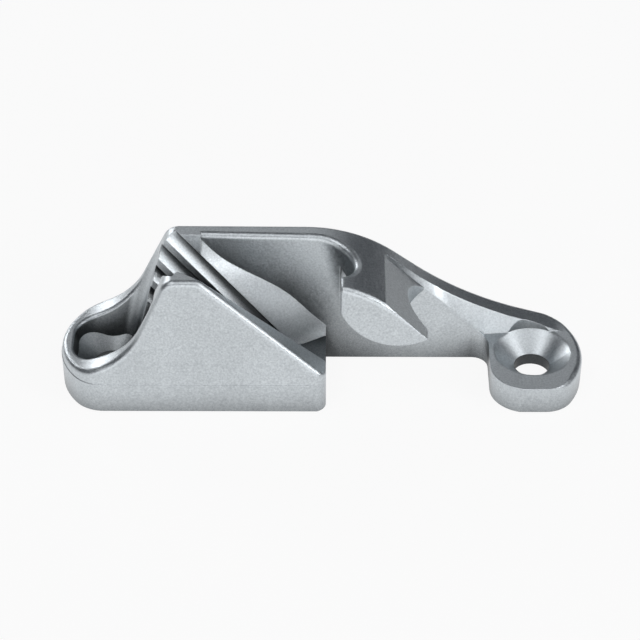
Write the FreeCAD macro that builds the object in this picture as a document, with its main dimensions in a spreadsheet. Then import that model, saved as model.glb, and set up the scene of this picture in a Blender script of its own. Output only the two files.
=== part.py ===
import FreeCAD, Part
import math
import os

# Jam cleat, one aluminium casting. Millimetres, +Z up, X along the rope, Y across it.
# The origin is on the deck face, midway between the two screw holes.
# The rope gap opens to the front, which is -Y.

V = FreeCAD.Vector

os.makedirs("parts", exist_ok=True)
doc = FreeCAD.newDocument("JamCleat")

# Driving dimensions: name of the size, value, what it is.
SIZES = [
    ("body_length", 82.0, "overall length along the rope"),
    ("base_width", 18.8, "width of the deck face"),
    ("hole_spacing", 66.5, "between the two screw holes"),
    ("hole_radius", 2.8, "screw hole"),
    ("sink_radius", 6.05, "countersink at the top of the boss"),
    ("sink_angle", 50.0, "half angle of both countersinks, degrees"),
    ("lower_draft", 1.5, "draft below the parting line, degrees"),
    ("upper_draft", 5.5, "draft above the parting line, degrees"),
    ("parting_height", 5.2, "height of the parting line"),
    ("parting_step", 0.07, "mismatch of the two mould halves"),
    ("left_tip_radius", 12.0, "plan radius of the blunt entry end"),
    ("left_corner_radius", 5.6, "plan corners of the entry end"),
    ("right_tip_radius", 14.0, "plan radius of the blunt exit end"),
    ("right_corner_radius", 4.8, "plan corners of the exit end"),
    ("edge_radius", 0.9, "rounding of the outer top edges"),
    ("rim_radius", 0.6, "rounding of the inner rims"),
    ("horn_radius", 0.4, "rounding of the horn's left edge"),
    ("rim_height", 6.8, "rim round the entry cup"),
    ("nose_radius", 13.0, "hollow of the profile above the entry cup"),
    ("nose_slope", 65.4, "slope of the steep entry face, degrees"),
    ("nose_reach", 34.78, "where the steep face would meet the deck, left of the origin"),
    ("crown_height", 23.55, "top of the jaws"),
    ("crown_radius", 2.6, "rounding where the steep face meets the crown"),
    ("crown_fall", 1.43, "slight fall of the crown towards the boss, degrees"),
    ("back_radius", 22.0, "rounding where the crown turns down to the arm"),
    ("back_slope", 39.05, "slope of the arm behind the jaws, degrees"),
    ("back_reach", 34.08, "where the back slope would meet the deck"),
    ("arm_radius", 53.0, "hollow of the arm's profile"),
    ("arm_slope", 17.5, "slope of the arm near the boss, degrees"),
    ("arm_reach", 52.6, "where the arm's slope would meet the deck"),
    ("arm_foot_radius", 8.0, "rounding where the arm runs out on the boss"),
    ("boss_height", 4.65, "flat round the countersink of the boss"),
    ("jaw_fall", 41.35, "slope of the front jaw behind its peak, degrees"),
    ("peak_reach", 18.84, "where that slope leaves the crown, left of the origin"),
    ("jaw_peak_radius", 2.8, "rounding of the front jaw's peak"),
    ("block_end", 0.6, "right end of the jaw block"),
    ("block_corner_radius", 2.2, "plan corner at the right end of the block"),
    ("boss_left", 26.4, "left side of the boss"),
    ("boss_corner_radius", 5.8, "plan corner of the boss at the rope gap"),
    ("arm_face", 4.45, "front face of the arm"),
    ("arm_root_radius", 2.5, "inner corner between arm and boss"),
    ("floor_height", 4.9, "floor of the jaw channel"),
    ("floor_half", 0.73, "half width of the channel floor"),
    ("jaw_end", 4.0, "where the full height of the jaw faces ends, left of the origin"),
    ("channel_angle", 12.7, "lean of each jaw face, degrees"),
    ("flare_half", 2.85, "half width of the flared floor near its end"),
    ("flare_reach", 0.82, "where the flared floor has that width, left of the origin"),
    ("flare_plan", 31.1, "opening of the front jaw towards the exit in plan, degrees"),
    ("flare_lean", 38.7, "lean of the front jaw's flared face, degrees"),
    ("crest_start", 20.0, "where the last tooth crest stands at crest_level, left of the origin"),
    ("crest_level", 21.3, "height of the last tooth crest there"),
    ("tooth_slope", 46.3, "slope of the tooth crests, degrees"),
    ("tooth_pitch", 3.1, "between tooth crests, square to them"),
    ("tooth_depth", 1.05, "depth of the grooves between the teeth"),
    ("tooth_land", 0.9, "flat crest of a tooth"),
    ("tooth_count", 4, "grooves on each jaw"),
    ("cup_half", 4.8, "half width of the entry cup at cup_level"),
    ("cup_level", 4.5, "height where the cup's size is given"),
    ("cup_start", 38.5, "left wall of the cup there, left of the origin"),
    ("cup_stop", 29.6, "right wall of the cup there, left of the origin"),
    ("cup_corner", 3.5, "plan corners of the cup"),
    ("cup_draft", 15.0, "lean of the cup walls, degrees"),
    ("land_left", 2.4, "screw hole's straight length in the cup"),
    ("land_right", 1.95, "screw hole's straight length in the boss"),
    ("pocket_radius", 5.2, "round end of the pocket beside the horn"),
    ("pocket_centre", 1.1, "centre of the round end at the crown, left of the origin"),
    ("pocket_slant", 15.0, "slant of the round end, degrees"),
    ("pocket_wall", 4.68, "rear wall of the pocket at the crown, behind the origin"),
    ("pocket_turn", 1.43, "turn of the rear wall in plan, degrees"),
    ("pocket_draft", 0.65, "draft of the rear wall, degrees"),
    ("pocket_reach", 18.9, "left end of the pocket, left of the origin"),
    ("horn_left", 2.8, "left face of the horn"),
    ("horn_right", 16.65, "tip of the horn"),
    ("web_foot", 13.0, "foot of the web between horn and arm"),
    ("horn_neck_radius", 6.3, "hollow of the horn's right side"),
    ("horn_neck_x", 19.55, "centre of the horn's hollow side, along the rope"),
    ("horn_neck_y", 0.75, "centre of the horn's hollow side, in front of the middle"),
    ("horn_belly_radius", 9.7, "rounded underside of the horn"),
    ("horn_belly_x", 11.7, "centre of the horn's underside, along the rope"),
    ("horn_belly_z", 22.15, "centre of the horn's underside, height"),
    ("horn_top_x", 9.67, "where the horn's top leaves the profile"),
    ("horn_slope", 43.0, "slope of the horn's top, degrees"),
    ("facet_top", 5.4, "back of the arm's facet at its left end"),
    ("facet_far", 6.1, "inner edge of the strip beside the boss"),
    ("facet_foot", 5.2, "foot of the wall beside the boss"),
]

sheet = doc.addObject("Spreadsheet::Sheet", "Sizes")
for row, (name, value, note) in enumerate(SIZES, start=1):
    sheet.set("A%d" % row, name)
    sheet.set("B%d" % row, str(value))
    sheet.set("C%d" % row, note)
    sheet.setAlias("B%d" % row, name)
doc.recompute()


def size(name):
    return float(sheet.get(name))


def tan(degrees):
    return math.tan(math.radians(degrees))


def sine(degrees):
    return math.sin(math.radians(degrees))


def keep(shape, label):
    """A document object that holds a shape made from the sheet's sizes."""
    thing = doc.addObject("Part::Feature", label)
    thing.Shape = shape
    return thing


def rounded(points, radii, closed=True):
    """Edges of a polyline whose corners are rounded by tangent arcs."""
    count = len(points)
    starts, ends, mids = [], [], []
    for i in range(count):
        here = points[i]
        r = radii[i]
        if r <= 0 or (not closed and i in (0, count - 1)):
            starts.append(here)
            ends.append(here)
            mids.append(None)
            continue
        a = (points[i - 1] - here).normalize()
        b = (points[(i + 1) % count] - here).normalize()
        half = a.getAngle(b) / 2
        reach = r / math.tan(half)
        centre = here + (a + b).normalize() * (r / math.sin(half))
        starts.append(here + a * reach)
        ends.append(here + b * reach)
        mids.append(centre + (here - centre).normalize() * r)
    edges = []
    for i in range(count):
        if mids[i] is not None:
            edges.append(Part.Arc(starts[i], mids[i], ends[i]).toShape())
        if closed or i < count - 1:
            after = starts[(i + 1) % count]
            if ends[i].distanceToPoint(after) > 1e-6:
                edges.append(Part.makeLine(ends[i], after))
    return edges


# Room well outside the casting, for cutters.
length = size("body_length")
wide = size("base_width")
crown = size("crown_height")
high = crown + size("cup_level")

# Plan outline: two straight sides, blunt arcs at the ends, round corners.
half_length = length / 2
part_z = size("parting_height")
half_part = wide / 2 + part_z * tan(size("lower_draft"))


def plan_outline(grow, z):
    """Blunt-ended outline, larger than the one at the parting line by grow."""
    half_w = half_part + grow
    ends = []
    for side, tip_r, corner_r in (
        (-1, size("left_tip_radius"), size("left_corner_radius")),
        (1, size("right_tip_radius"), size("right_corner_radius")),
    ):
        reach = half_length + grow
        tip_r = tip_r + grow
        corner_r = corner_r + grow
        tip_c = reach - tip_r
        corner_y = half_w - corner_r
        corner_x = tip_c + math.sqrt((tip_r - corner_r) ** 2 - corner_y ** 2)
        away = V(corner_x - tip_c, corner_y, 0).normalize()
        touch = V(tip_c, 0, 0) + away * tip_r
        middle = (away + V(0, 1, 0)).normalize()
        corner_mid = V(corner_x, corner_y, 0) + middle * corner_r
        ends.append((side, reach, corner_x, half_w, touch, corner_mid))
    edges = []
    for side, reach, corner_x, half_w, touch, corner_mid in ends:
        def put(p, up):
            return V(side * p.x, up * p.y, z)
        side_point = V(corner_x, half_w, 0)
        up = -side
        edges.append(Part.Arc(put(side_point, up), put(corner_mid, up), put(touch, up)).toShape())
        edges.append(Part.Arc(put(touch, up), V(side * reach, 0, z), put(touch, -up)).toShape())
        edges.append(Part.Arc(put(touch, -up), put(corner_mid, -up), put(side_point, -up)).toShape())
    left_x, right_x = -ends[0][2], ends[1][2]
    edges.append(Part.makeLine(V(left_x, half_w, z), V(right_x, half_w, z)))
    edges.append(Part.makeLine(V(left_x, -half_w, z), V(right_x, -half_w, z)))
    return Part.Wire(Part.__sortEdges__(edges))


def drafted(angle, grow):
    """Prism through the outline at the parting height, with one draft all the way up."""
    foot = plan_outline(grow + part_z * tan(angle), 0)
    head = plan_outline(grow - (high - part_z) * tan(angle), high)
    return Part.makeLoft([foot, head], True, True)


upper = drafted(size("upper_draft"), 0)
lower = drafted(-size("lower_draft"), size("parting_step"))


def box(x_from, x_to, y_from, y_to, z_from, z_to):
    return Part.makeBox(x_to - x_from, y_to - y_from, z_to - z_from, V(x_from, y_from, z_from))


def profile_solid(points, radii):
    """Solid of a profile in XZ, swept right across the cleat."""
    face = Part.Face(Part.Wire(rounded(points, radii)))
    face.translate(V(0, -wide, 0))
    return face.extrude(V(0, 2 * wide, 0))


# Side profile: cup rim, steep entry face, crown, slope down to the boss.
nose = tan(size("nose_slope"))


def nose_at(z):
    return -size("nose_reach") + z / nose


def meet(reach_a, slope_a, reach_b, slope_b):
    """Where two falling lines cross, each given by its deck crossing and its slope."""
    x = (reach_b * slope_b - reach_a * slope_a) / (slope_b - slope_a)
    return V(x, 0, slope_a * (reach_a - x))


rim_z = size("rim_height")
boss_z = size("boss_height")
back = tan(size("back_slope"))
arm = tan(size("arm_slope"))
crown_fall = tan(size("crown_fall"))
back_top = meet(crown / crown_fall, crown_fall, size("back_reach"), back)
arm_top = meet(size("back_reach"), back, size("arm_reach"), arm)
flat_x = size("arm_reach") - boss_z / arm
below = -size("parting_height")
profile = [
    V(-length, 0, below),
    V(-length, 0, rim_z),
    V(nose_at(rim_z), 0, rim_z),
    V(nose_at(crown), 0, crown),
    back_top,
    arm_top,
    V(flat_x, 0, boss_z),
    V(length, 0, boss_z),
    V(length, 0, below),
]
profile_radii = [
    0, 0, size("nose_radius"), size("crown_radius"), size("back_radius"),
    size("arm_radius"), size("arm_foot_radius"), 0, 0,
]
side = profile_solid(profile, profile_radii)

# The front jaw is lower: its top falls straight from the crown to the end of the block.
fall = tan(size("jaw_fall"))
fall_end = -size("peak_reach") + (crown - part_z / 2) / fall
front_profile = [
    V(-length, 0, below),
    V(-length, 0, rim_z),
    V(nose_at(rim_z), 0, rim_z),
    V(nose_at(crown), 0, crown),
    V(-size("peak_reach"), 0, crown),
    V(fall_end, 0, part_z / 2),
    V(length, 0, part_z / 2),
    V(length, 0, below),
]
front_radii = [
    0, 0, size("nose_radius"), size("crown_radius"), size("jaw_peak_radius"), 0, 0, 0,
]
front_side = profile_solid(front_profile, front_radii)


def lean(face):
    """Z part of a face's outward normal at its middle."""
    u0, u1, v0, v1 = face.ParameterRange
    return face.normalAt((u0 + u1) / 2, (v0 + v1) / 2).z


def top_rim(shape, x_max):
    """Edges between the upper faces and the drafted sides."""
    found = []
    for edge in shape.Edges:
        faces = shape.ancestorsOfType(edge, Part.Face)
        if len(faces) != 2:
            continue
        flat, steep = sorted((lean(f) for f in faces), key=abs)
        if abs(flat) < 0.25 and steep > 0.3 and edge.BoundBox.XMax < x_max:
            found.append(edge)
    return found


def rounded_envelope(profile_shape, x_max):
    """Both drafts under one profile, with the upper edges rounded."""
    above = upper.common(profile_shape)
    under = lower.common(profile_shape)
    above = above.makeFillet(size("edge_radius"), top_rim(above, x_max))
    under = under.makeFillet(size("edge_radius"), top_rim(under, x_max))
    above = above.common(box(-length, length, -wide, wide, part_z, 2 * high))
    under = under.common(box(-length, length, -wide, wide, below, part_z))
    return above.fuse(under).removeSplitter()


full = keep(rounded_envelope(side, length), "FullEnvelope")
low_front = keep(rounded_envelope(front_side, fall_end + 0.1), "FrontEnvelope")


def primitive(kind, label, bindings, turn=None, **places):
    """A Part primitive whose sizes and place are bound to the sheet."""
    thing = doc.addObject(kind, label)
    for prop, formula in bindings.items():
        thing.setExpression(prop, formula)
    thing.Placement = FreeCAD.Placement(V(0, 0, 0), turn or FreeCAD.Rotation())
    for axis, formula in places.items():
        thing.setExpression("Placement.Base." + axis, formula)
    return thing


def joined(kind, label, shapes):
    thing = doc.addObject(kind, label)
    thing.Shapes = shapes
    return thing


def cut(label, base, tool):
    thing = doc.addObject("Part::Cut", label)
    thing.Base = base
    thing.Tool = tool
    return thing


ALONG_Y = FreeCAD.Rotation(V(1, 0, 0), -90)

# What is taken off the full height in front: everything above the falling jaw.
front_space = primitive("Part::Box", "FrontSpace", {
    "Length": "(Sizes.block_end + Sizes.peak_reach + Sizes.jaw_peak_radius) * 1 mm",
    "Width": "Sizes.base_width * 1 mm",
    "Height": "2 * Sizes.crown_height * 1 mm",
}, x="-(Sizes.peak_reach + Sizes.jaw_peak_radius) * 1 mm", y="-Sizes.base_width * 1 mm")
front_waste = cut("FrontWaste", front_space, low_front)

# Rope gap: open to the front between block and boss, down through the deck face.
gap_left, gap_right = size("block_end"), size("boss_left")
mouth = -half_part - size("parting_step") - 0.02
arm_y = size("arm_face")
gap_points = [
    V(gap_left, arm_y, 0),
    V(gap_right, arm_y, 0),
    V(gap_right, mouth, 0),
    V(length, mouth, 0),
    V(length, -2 * wide, 0),
    V(-length, -2 * wide, 0),
    V(-length, mouth, 0),
    V(gap_left, mouth, 0),
]
gap_radii = [
    0, size("arm_root_radius"), size("boss_corner_radius"), 0,
    0, 0, 0, size("block_corner_radius"),
]
gap_face = Part.Face(Part.Wire(rounded(gap_points, gap_radii)))
gap = keep(gap_face.extrude(V(0, 0, 2 * high)), "RopeGap")

# Horn: a tongue over the gap, round below, hollow on its right side.
horn_block = primitive("Part::Box", "HornBlock", {
    "Length": "(Sizes.horn_right - Sizes.horn_left) * 1 mm",
    "Width": "(Sizes.arm_face + Sizes.base_width) * 1 mm",
    "Height": "2 * Sizes.crown_height * 1 mm",
}, x="Sizes.horn_left * 1 mm", y="-Sizes.base_width * 1 mm")
belly = primitive("Part::Cylinder", "HornBelly", {
    "Radius": "Sizes.horn_belly_radius * 1 mm",
    "Height": "2 * Sizes.base_width * 1 mm",
}, ALONG_Y, x="Sizes.horn_belly_x * 1 mm", y="-Sizes.base_width * 1 mm", z="Sizes.horn_belly_z * 1 mm")
neck = primitive("Part::Cylinder", "HornNeck", {
    "Radius": "Sizes.horn_neck_radius * 1 mm",
    "Height": "2 * Sizes.crown_height * 1 mm",
}, x="Sizes.horn_neck_x * 1 mm", y="-Sizes.horn_neck_y * 1 mm")
horn_core = joined("Part::MultiCommon", "HornCore", [full, horn_block, belly])
horn = cut("Horn", horn_core, neck)
block_waste = joined("Part::MultiFuse", "BlockWaste", [gap, front_waste])
block_and_arm = cut("BlockAndArm", full, block_waste)

# Web between horn and arm, which the pocket's round end is cut into.
web_block = primitive("Part::Box", "WebBlock", {
    "Length": "(Sizes.horn_left - Sizes.block_end) * 1 mm",
    "Width": "Sizes.arm_face * 1 mm",
    "Height": "Sizes.crown_height * 1 mm",
}, x="Sizes.block_end * 1 mm", z="Sizes.web_foot * 1 mm")
web = joined("Part::MultiCommon", "Web", [full, web_block])
solid_form = joined("Part::MultiFuse", "SolidForm", [block_and_arm, horn, web])

# Facet: the horn's top runs on as the foot of a facet along the arm.
horn_fall = tan(size("horn_slope"))
top_x = size("horn_top_x")


def profile_height(x):
    """Height of the side profile at x."""
    hit = side.common(Part.makeLine(V(x, 0, below), V(x, 0, 2 * high)))
    return hit.BoundBox.ZMax


foot_z0 = profile_height(top_x)
foot_end = top_x + (foot_z0 - boss_z) / horn_fall


def facet_section(x, foot_y, foot_z, back_y, back_z):
    corners = [
        V(x, foot_y, foot_z), V(x, back_y, back_z), V(x, back_y + 0.3, 2 * high),
        V(x, -2 * wide, 2 * high), V(x, -2 * wide, foot_z),
    ]
    return Part.makePolygon(corners + corners[:1])


def facet_back(x):
    """Inner edge of the strip left along the arm's rear edge."""
    share = (x - top_x) / (flat_x - top_x)
    return size("facet_top") + share * (size("facet_far") - size("facet_top"))


facet_sections = []
for x in (top_x, (top_x + foot_end) / 2, foot_end):
    foot_z = foot_z0 - horn_fall * (x - top_x)
    facet_sections.append(facet_section(x, arm_y, foot_z, facet_back(x), profile_height(x) + 0.01))
facet = keep(Part.makeLoft(facet_sections, True, True), "Facet")

# Wall beside the boss, then the round well over its countersink.
wall_x = size("hole_spacing") / 2
boss_sections = [
    facet_section(foot_end, arm_y, boss_z, facet_back(foot_end), profile_height(foot_end) + 0.01),
    facet_section(wall_x, size("facet_foot"), boss_z, facet_back(wall_x), profile_height(wall_x) + 0.01),
    facet_section(flat_x + 2, size("facet_foot"), boss_z, size("facet_foot") + 0.3, boss_z + 0.3),
]
boss_wall = keep(Part.makeLoft(boss_sections, True, True), "BossWall")
well = primitive("Part::Cylinder", "BossWell", {
    "Radius": "Sizes.sink_radius * 1 mm",
    "Height": "Sizes.crown_height * 1 mm",
}, x="Sizes.hole_spacing / 2 * 1 mm", z="Sizes.boss_height * 1 mm")
sink_right = primitive("Part::Cone", "SinkRight", {
    "Radius1": "Sizes.hole_radius * 1 mm",
    "Radius2": "Sizes.sink_radius * 1 mm",
    "Height": "(Sizes.boss_height - Sizes.land_right) * 1 mm",
}, x="Sizes.hole_spacing / 2 * 1 mm", z="Sizes.land_right * 1 mm")

# Jaw channel: a steep V the whole length of the block.
floor_z = size("floor_height")
jaw_lean = tan(size("channel_angle"))


def jaw_y(z):
    """Half width between the jaw faces at a height."""
    return size("floor_half") + (z - floor_z) * jaw_lean




def channel_part(x_end, top):
    """The V between the jaws, from the cup to x_end and up to a height."""
    corners = [
        V(-size("cup_stop"), -jaw_y(floor_z), floor_z), V(-size("cup_stop"), jaw_y(floor_z), floor_z),
        V(-size("cup_stop"), jaw_y(top), top), V(-size("cup_stop"), -jaw_y(top), top),
    ]
    face = Part.Face(Part.makePolygon(corners + corners[:1]))
    return face.extrude(V(x_end + size("cup_stop"), 0, 0))


# Only its foot and the width of its floor run on between the flared faces.
channel = channel_part(-size("jaw_end"), high).multiFuse([
    channel_part(gap_left + 1, 2 * floor_z),
    box(-size("jaw_end") - 0.1, gap_left + 1, -size("floor_half"), size("floor_half"), floor_z, high),
])
channel = keep(channel, "Channel")

# Pocket: a slot behind the last tooth. Its rear wall turns and leans a little, and its
# round end under the horn slants to the right on its way down.
pocket_turn = tan(size("pocket_turn"))
pocket_r = size("pocket_radius")


def pocket_wall(x, z):
    """Where the pocket's rear wall stands at a place along the rope and a height."""
    return size("pocket_wall") - x * pocket_turn - (crown - z) * tan(size("pocket_draft"))


def pocket_centre(z):
    """Centre of the round end, which touches the rear wall."""
    x = -size("pocket_centre") + (crown - z) * tan(size("pocket_slant"))
    touch_x = x + pocket_r * sine(size("pocket_turn"))
    return x, pocket_wall(touch_x, z) - pocket_r * math.cos(math.radians(size("pocket_turn")))


def pocket_outline(z):
    left = -size("pocket_reach")
    centre = V(*pocket_centre(z), z)
    touch_x = centre.x + pocket_r * sine(size("pocket_turn"))
    touch = V(touch_x, pocket_wall(touch_x, z), z)
    front = centre - V(0, pocket_r, 0)
    corner = V(left, pocket_wall(left, z), z)
    front_corner = V(left, front.y, z)
    return Part.Wire([
        Part.makeLine(corner, touch),
        Part.Arc(touch, centre + V(pocket_r, 0, 0), front).toShape(),
        Part.makeLine(front, front_corner),
        Part.makeLine(front_corner, corner),
    ])


slot = Part.makeLoft([pocket_outline(0), pocket_outline(high)], True, True)
pocket = keep(slot.common(box(gap_left, length, -wide, wide, 0, high)), "Pocket")

# Rear jaw's flared face: straight rulings from the last tooth crest to the pocket's wall.
crest_slope = tan(size("tooth_slope"))


def crest_x(z):
    return -size("crest_start") - (z - size("crest_level")) / crest_slope


# Height, and how far right of the crest the flared face meets the pocket's wall there.
FLARE_ROWS = [
    (-2.0, 6.4), (3.0, 6.3), (6.2, 6.25), (9.0, 6.1), (12.8, 6.0),
    (15.6, 4.3), (18.1, 2.5), (22.4, 2.3), (28.0, 2.2),
]
levels = [z for z, reach in FLARE_ROWS]
crest_line, wall_line = [], []
for z, reach in FLARE_ROWS:
    start = V(crest_x(z), jaw_y(z), z)
    end = V(start.x + reach, pocket_wall(start.x + reach, z), z)
    crest_line.append(start)
    wall_line.append(end + (end - start) * 0.3)


def through(points):
    curve = Part.BSplineCurve()
    curve.interpolate(Points=points, Parameters=levels)
    return curve.toShape()


flare_face = Part.makeRuledSurface(through(crest_line), through(wall_line))
flare_solid = flare_face.extrude(V(0, 0, 2 * high))
rear_slot = slot.common(box(-length, gap_left + 1, -0.1, wide, floor_z, high))
flare_rear = flare_solid.common(rear_slot)


def above_plane(point, normal):
    """Everything on the normal's side of a plane."""
    block = box(-length, length, -length, length, 0, 2 * length)
    block.Placement = FreeCAD.Placement(point, FreeCAD.Rotation(V(0, 0, 1), normal))
    return block


# Front jaw's flared face is one plane; its top edge is what shows.
flare_point = V(-size("flare_reach"), -size("flare_half"), floor_z)
flare_normal = V(tan(size("flare_plan")), 1, tan(size("flare_lean")))
crest_top = crest_x(crown)
flare_front = above_plane(flare_point, flare_normal).common(
    box(crest_top - 1, gap_left + 1, -wide, 0.1, floor_z, high))
flare = keep(flare_front, "Flare")

# Teeth: grooves along the crest direction on both jaw faces.


def crest_point(z, number):
    step = number * size("tooth_pitch") / sine(size("tooth_slope"))
    return V(crest_x(z) - step, jaw_y(z), z)


def groove(number):
    low, top = crest_point(0, number), crest_point(high, number)
    along = (top - low).normalize()
    inward = V(0, 1, -jaw_lean).normalize()
    down = along.cross(inward).normalize()
    if down.x > 0:
        down = -down
    width = size("tooth_pitch") - size("tooth_land")
    depth = size("tooth_depth")
    root = low + down * (0.16 * width) + inward * depth
    ramp = low + down * (0.55 * width) + inward * (0.62 * depth)
    end = low + down * width
    rise = -inward
    line = [
        Part.makeLine(low, root), Part.Arc(root, ramp, end).toShape(),
        Part.makeLine(end, end + rise), Part.makeLine(end + rise, low + rise),
        Part.makeLine(low + rise, low),
    ]
    return Part.Face(Part.Wire(line)).extrude(top - low)


grooves = [groove(number) for number in range(int(size("tooth_count")))]
rear_grooves = grooves[0].multiFuse(grooves[1:])
rear_grooves = rear_grooves.common(box(-length, length, -wide, wide, floor_z, high))
front_grooves = rear_grooves.mirror(V(0, 0, 0), V(0, 1, 0))
teeth = keep(Part.makeCompound([rear_grooves, front_grooves]), "Teeth")

# Entry cup: leaning walls that run down to the countersink.


def cup_section(z):
    grow = (z - size("cup_level")) * tan(size("cup_draft"))
    half = size("cup_half") + grow
    left = -size("cup_start") - grow
    right = -size("cup_stop") + grow
    r = size("cup_corner") + 0.3 * grow
    corners = [V(left, -half, z), V(right, -half, z), V(right, half, z), V(left, half, z)]
    return Part.Wire(rounded(corners, [r, 0.6 * r, 0.6 * r, r]))


cup_walls = keep(Part.makeLoft([cup_section(size("land_left") / 2), cup_section(high)], True, True), "CupWalls")
sink_left = primitive("Part::Cone", "SinkLeft", {
    "Radius1": "Sizes.hole_radius * 1 mm",
    "Radius2": "(Sizes.hole_radius + Sizes.crown_height * tan(Sizes.sink_angle * 1 deg)) * 1 mm",
    "Height": "Sizes.crown_height * 1 mm",
}, x="-Sizes.hole_spacing / 2 * 1 mm", z="Sizes.land_left * 1 mm")
cup = joined("Part::MultiCommon", "Cup", [cup_walls, sink_left])
holes = []
for label, side_sign in (("HoleLeft", "-"), ("HoleRight", "")):
    holes.append(primitive("Part::Cylinder", label, {
        "Radius": "Sizes.hole_radius * 1 mm",
        "Height": "2 * Sizes.boss_height * 1 mm",
    }, x=side_sign + "Sizes.hole_spacing / 2 * 1 mm", z="-Sizes.boss_height / 2 * 1 mm"))

doc.recompute()
pocketed = solid_form.Shape.cut(pocket.Shape.fuse(flare_rear))


def upward(face, point):
    """Z part of a face's outward normal at a point."""
    u, v = face.Surface.parameter(point)
    return face.normalAt(u, v).z


def softened(shape, radius, wanted):
    """Shape with the wanted edges rounded, told by middle point and its two faces' slopes."""
    edges = []
    for edge in shape.Edges:
        faces = shape.ancestorsOfType(edge, Part.Face)
        if len(faces) != 2:
            continue
        middle = edge.valueAt((edge.FirstParameter + edge.LastParameter) / 2)
        low, up = sorted(upward(face, middle) for face in faces)
        if wanted(middle, low, up):
            edges.append(edge)
    return shape.makeFillet(radius, edges)


def pocket_rim(point, low, up):
    """Top edge of the pocket's rear wall and round end."""
    centre_x, centre_y = pocket_centre(point.z)
    round_off = math.hypot(point.x - centre_x, point.y - centre_y) - pocket_r
    wall_off = point.y - pocket_wall(point.x, point.z)
    on_wall = abs(round_off) < 0.01 or abs(wall_off) < 0.01
    return on_wall and low < 0.3 and up > 0.7 and point.x > 0.1 - size("pocket_reach")


# The two roundings of the crown strip share its width.
crown_half = half_part - (crown - part_z) * tan(size("upper_draft"))
crown_strip = crown_half - pocket_wall(-size("pocket_reach"), crown)
rim_round = min(size("edge_radius"), 0.45 * crown_strip)
rimmed = keep(softened(pocketed, rim_round, pocket_rim), "Rimmed")
openings = joined("Part::MultiFuse", "Openings", [
    facet, boss_wall, well, channel, flare, cup, sink_right,
] + holes)
carved = cut("Carved", rimmed, openings)
doc.recompute()


def cup_rim(point, low, up):
    """Inner edge of the rim round the entry cup."""
    return point.x < size("sink_radius") - size("hole_spacing") / 2 and point.z > rim_z - 0.1 \
        and 0.2 < low < 0.34 and up > 0.5


def sink_rim(point, low, up):
    """Edge between the countersink and the flat of the boss."""
    off = math.hypot(point.x - size("hole_spacing") / 2, point.y) - size("sink_radius")
    return abs(off) < 0.3 and abs(point.z - boss_z) < 0.01 and low > 0.7


def horn_rim(point, low, up):
    """Top edge of the horn's left face."""
    return abs(point.x - size("horn_left")) < 0.01 and low < 0.1 and up > 0.7


def jaw_rim(point, low, up):
    """Inner top edge of the front jaw."""
    return point.x < gap_left - 1 and 0.5 < low < 0.62 and 0.7 < up < 0.8


def block_rim(point, low, up):
    """Edges of the block's right end."""
    return abs(point.x - gap_left) < 0.15 and point.y < -3 and abs(low) < 0.01 and up > 0.5


soft = carved.Shape
for radius, wanted in (
    (size("rim_radius"), cup_rim), (size("rim_radius"), sink_rim), (size("horn_radius"), horn_rim),
    (size("rim_radius"), jaw_rim), (size("edge_radius"), block_rim),
):
    soft = softened(soft, radius, wanted)
body = keep(soft, "Body")
cleat = cut("CleatBody", body, teeth)
cleat.Label = "cleat_body"
doc.recompute()

failed = []
for thing in doc.Objects:
    if "Invalid" in thing.State or "Error" in thing.State:
        failed.append(thing.Name)
    if thing.isDerivedFrom("Part::Feature"):
        if thing.Shape.isNull() or not thing.Shape.isValid():
            failed.append(thing.Name + " shape")
if failed:
    raise RuntimeError("objects failed: " + ", ".join(failed))
cleat.Shape.exportStep("parts/cleat_body.step")
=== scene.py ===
import bpy
import math
from mathutils import Matrix, Vector

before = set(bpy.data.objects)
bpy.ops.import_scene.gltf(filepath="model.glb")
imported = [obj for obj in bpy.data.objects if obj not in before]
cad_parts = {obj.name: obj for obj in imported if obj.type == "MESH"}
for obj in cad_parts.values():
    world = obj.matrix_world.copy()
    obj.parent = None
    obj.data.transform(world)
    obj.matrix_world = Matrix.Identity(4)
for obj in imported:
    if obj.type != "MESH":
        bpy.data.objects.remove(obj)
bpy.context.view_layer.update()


scene = bpy.context.scene
scene.view_settings.view_transform = "Standard"

# Metal: lengths in metres, and noise scales in cells per metre.
SPECK_SCALE = 3200.0
SPECK_DARK = (0.47, 0.505, 0.53, 1.0)
SPECK_LIGHT = (0.70, 0.74, 0.765, 1.0)
CLOUD_SCALE = 190.0
CLOUD_DARK = (0.93, 0.93, 0.93, 1.0)
RECESS_REACH = 0.015
RECESS_SHADE = 0.12
ROUGHNESS_RANGE = (0.34, 0.47)
EDGE_SOFTNESS = 0.00022
GRAIN_HEIGHT = 0.00006

# Floor: lengths in metres, and the share of its own light that the camera and the metal see.
FLOOR_HALF = 3
FLOOR_DROP = 0.0001
PAPER_COLOUR = (0.82, 0.82, 0.82, 1.0)
SHARE_SEEN = 0.91
SHARE_MIRRORED = 0.88

WHITE = (1.0, 1.0, 1.0, 1.0)
SKY_COLOUR = (0.03, 0.034, 0.042, 1.0)
LAMP_DISTANCE = 0.9

# Camera: metres and degrees, with the photograph's frame and focal length in pixels.
FRAME_PIXELS = 640
FOCAL_PIXELS = 2555.5
SENSOR_WIDTH = 36.0
CAMERA_TILT = 37.0
CAMERA_ROLL = 0.15
CAMERA_DISTANCE = 0.4
CAMERA_AIM = (-0.00035, 0.0, 0.01073)


def make(tree, kind, **settings):
    """A new node of the tree with the settings given."""
    node = tree.nodes.new(kind)
    for key, value in settings.items():
        setattr(node, key, value)
    return node


def put(node, **values):
    """Set a node's sockets by name, with an underscore for each space."""
    for key, value in values.items():
        node.inputs[key.replace("_", " ")].default_value = value


def join(tree, source, output, target, socket):
    """Link one node's output to another node's socket."""
    tree.links.new(source.outputs[output], target.inputs[socket])


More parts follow.
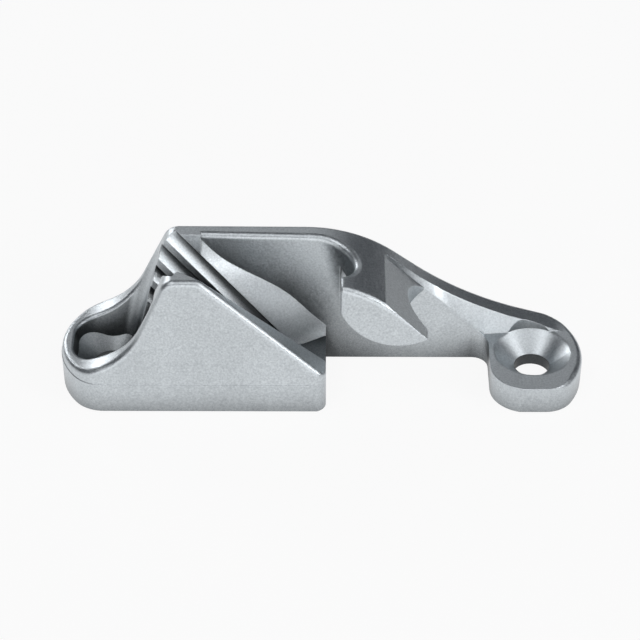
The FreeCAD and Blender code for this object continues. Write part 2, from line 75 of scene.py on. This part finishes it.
def fresh(name):
    """A material, its emptied node tree and the tree's output."""
    material = bpy.data.materials.new(name)
    material.use_nodes = True
    tree = material.node_tree
    tree.nodes.clear()
    return material, tree, make(tree, "ShaderNodeOutputMaterial")


def noise(tree, coords, scale, detail, roughness):
    """Noise that is fixed to the object."""
    node = make(tree, "ShaderNodeTexNoise")
    put(node, Scale=scale, Detail=detail, Roughness=roughness)
    join(tree, coords, "Object", node, "Vector")
    return node


def ramp(tree, source, *stops):
    """Colours spread over a noise, one for each stop's place."""
    node = make(tree, "ShaderNodeValToRGB")
    for element, (position, colour) in zip(node.color_ramp.elements, stops):
        element.position = position
        element.color = colour
    join(tree, source, "Fac", node, "Fac")
    return node


def remap(tree, source, output, span, result):
    """A value whose span is stretched to the result's."""
    node = make(tree, "ShaderNodeMapRange")
    put(node, From_Min=span[0], From_Max=span[1], To_Min=result[0], To_Max=result[1])
    join(tree, source, output, node, "Value")
    return node


def product(tree, first, first_output, second, second_output):
    """One colour multiplied by another."""
    node = make(tree, "ShaderNodeMix", data_type="RGBA", blend_type="MULTIPLY")
    put(node, Factor=1.0)
    join(tree, first, first_output, node, "A")
    join(tree, second, second_output, node, "B")
    return node


def scaled(tree, source, output, factor):
    """A value times a factor."""
    node = make(tree, "ShaderNodeMath", operation="MULTIPLY")
    node.inputs[1].default_value = factor
    join(tree, source, output, node, 0)
    return node


def blasted_aluminium():
    """Cast aluminium, shot-blasted to a fine even grain and clear anodised, with painted shade in its
    grooves, corners and holes.
    """
    metal, tree, out = fresh("blasted_aluminium")
    shader = make(tree, "ShaderNodeBsdfPrincipled")
    put(shader, Metallic=1.0)
    join(tree, shader, "BSDF", out, "Surface")
    coords = make(tree, "ShaderNodeTexCoord")
    speck = noise(tree, coords, scale=SPECK_SCALE, detail=3.0, roughness=0.6)
    cloud = noise(tree, coords, scale=CLOUD_SCALE, detail=4.0, roughness=0.55)
    tone = ramp(tree, speck, (0.28, SPECK_DARK), (0.72, SPECK_LIGHT))
    patch = ramp(tree, cloud, (0.3, CLOUD_DARK), (0.7, WHITE))
    blend = product(tree, tone, "Color", patch, "Color")

    # Painted shade: grooves, corners and holes are darkened by how closed in they are.
    # This darkening stands for the dark surroundings that the real ones reflect.
    recess = make(tree, "ShaderNodeAmbientOcclusion", samples=16)
    put(recess, Distance=RECESS_REACH)
    depth = remap(tree, recess, "AO", span=(0.36, 0.64), result=(RECESS_SHADE, 1.0))
    # The painted shade multiplies the base colour darker in the recesses.
    painted_shade = product(tree, blend, "Result", depth, "Result")
    join(tree, painted_shade, "Result", shader, "Base Color")

    rough = remap(tree, speck, "Fac", span=(0.3, 0.7), result=ROUGHNESS_RANGE)
    join(tree, rough, "Result", shader, "Roughness")

    soft = make(tree, "ShaderNodeBevel", samples=6)
    put(soft, Radius=EDGE_SOFTNESS)
    grain = make(tree, "ShaderNodeBump")
    put(grain, Strength=0.35, Distance=GRAIN_HEIGHT)
    join(tree, speck, "Fac", grain, "Height")
    join(tree, soft, "Normal", grain, "Normal")
    join(tree, grain, "Normal", shader, "Normal")
    return metal


def studio_floor():
    """Pale paper that keeps a soft shadow, and shows near white to the camera and in the metal."""
    material, tree, out = fresh("studio_floor")
    paper = make(tree, "ShaderNodeBsdfDiffuse")
    put(paper, Color=PAPER_COLOUR)
    glow = make(tree, "ShaderNodeEmission")
    put(glow, Color=WHITE, Strength=1.0)
    path = make(tree, "ShaderNodeLightPath")
    seen = scaled(tree, path, "Is Camera Ray", SHARE_SEEN)
    mirrored = scaled(tree, path, "Is Glossy Ray", SHARE_MIRRORED)
    share = make(tree, "ShaderNodeMath", operation="MAXIMUM")
    join(tree, seen, "Value", share, 0)
    join(tree, mirrored, "Value", share, 1)
    mix = make(tree, "ShaderNodeMixShader")
    join(tree, share, "Value", mix, "Fac")
    join(tree, paper, "BSDF", mix, 1)
    join(tree, glow, "Emission", mix, 2)
    join(tree, mix, "Shader", out, "Surface")
    return material


def stand(name, data):
    """A new object of the scene, made of the data."""
    thing = bpy.data.objects.new(name, data)
    scene.collection.objects.link(thing)
    return thing


def lamp(name, azimuth, elevation, size, power):
    """Area lamp seen from the object at an azimuth and elevation; azimuth 0 is the front."""
    a = math.radians(azimuth)
    e = math.radians(elevation)
    spot = Vector((math.sin(a) * math.cos(e), -math.cos(a) * math.cos(e), math.sin(e))) * LAMP_DISTANCE
    data = bpy.data.lights.new(name, "AREA")
    data.shape = "RECTANGLE"
    data.size, data.size_y = size
    data.energy = power
    light = stand(name, data)
    light.location = spot
    light.rotation_euler = (-spot).to_track_quat("-Z", "Y").to_euler()


metal = blasted_aluminium()
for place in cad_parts["cleat_body"].material_slots:
    place.material = metal

mesh = bpy.data.meshes.new("floor")
rim = [(-FLOOR_HALF, -FLOOR_HALF, 0), (FLOOR_HALF, -FLOOR_HALF, 0),
       (FLOOR_HALF, FLOOR_HALF, 0), (-FLOOR_HALF, FLOOR_HALF, 0)]
mesh.from_pydata(rim, [], [(0, 1, 2, 3)])
mesh.materials.append(studio_floor())
floor = stand("floor", mesh)
floor.location.z = -FLOOR_DROP

# A dim sky behind the lamps.
world = bpy.data.worlds.new("studio")
scene.world = world
world.use_nodes = True
put(world.node_tree.nodes["Background"], Color=SKY_COLOUR, Strength=1.0)

lamp("front_low", azimuth=0, elevation=12, size=(1.6, 0.38), power=3.4)
lamp("front_high", azimuth=0, elevation=62, size=(1.0, 0.55), power=1.8)
lamp("left_high", azimuth=-50, elevation=58, size=(0.36, 0.36), power=0.9)
lamp("right_front", azimuth=60, elevation=28, size=(0.25, 0.3), power=1.9)
lamp("right_high", azimuth=88, elevation=46, size=(0.36, 0.5), power=1.2)
lamp("back_left", azimuth=-140, elevation=22, size=(0.36, 0.3), power=1.6)
lamp("back_soft", azimuth=180, elevation=37, size=(0.5, 0.36), power=0.4)

# The camera looks down at the cleat from the front through a long lens, with a hair of roll.
lens = bpy.data.cameras.new("camera")
lens.sensor_fit = "HORIZONTAL"
lens.sensor_width = SENSOR_WIDTH
lens.lens = SENSOR_WIDTH * FOCAL_PIXELS / FRAME_PIXELS
lens.clip_start = 0.01
camera = stand("camera", lens)
scene.camera = camera
tilt = math.radians(CAMERA_TILT)
roll = math.radians(CAMERA_ROLL)
camera.location = Vector(CAMERA_AIM) + CAMERA_DISTANCE * Vector((0.0, -math.cos(tilt), math.sin(tilt)))
turn = Matrix.Rotation(math.radians(90) - tilt, 4, "X") @ Matrix.Rotation(roll, 4, "Z")
camera.rotation_euler = turn.to_euler()
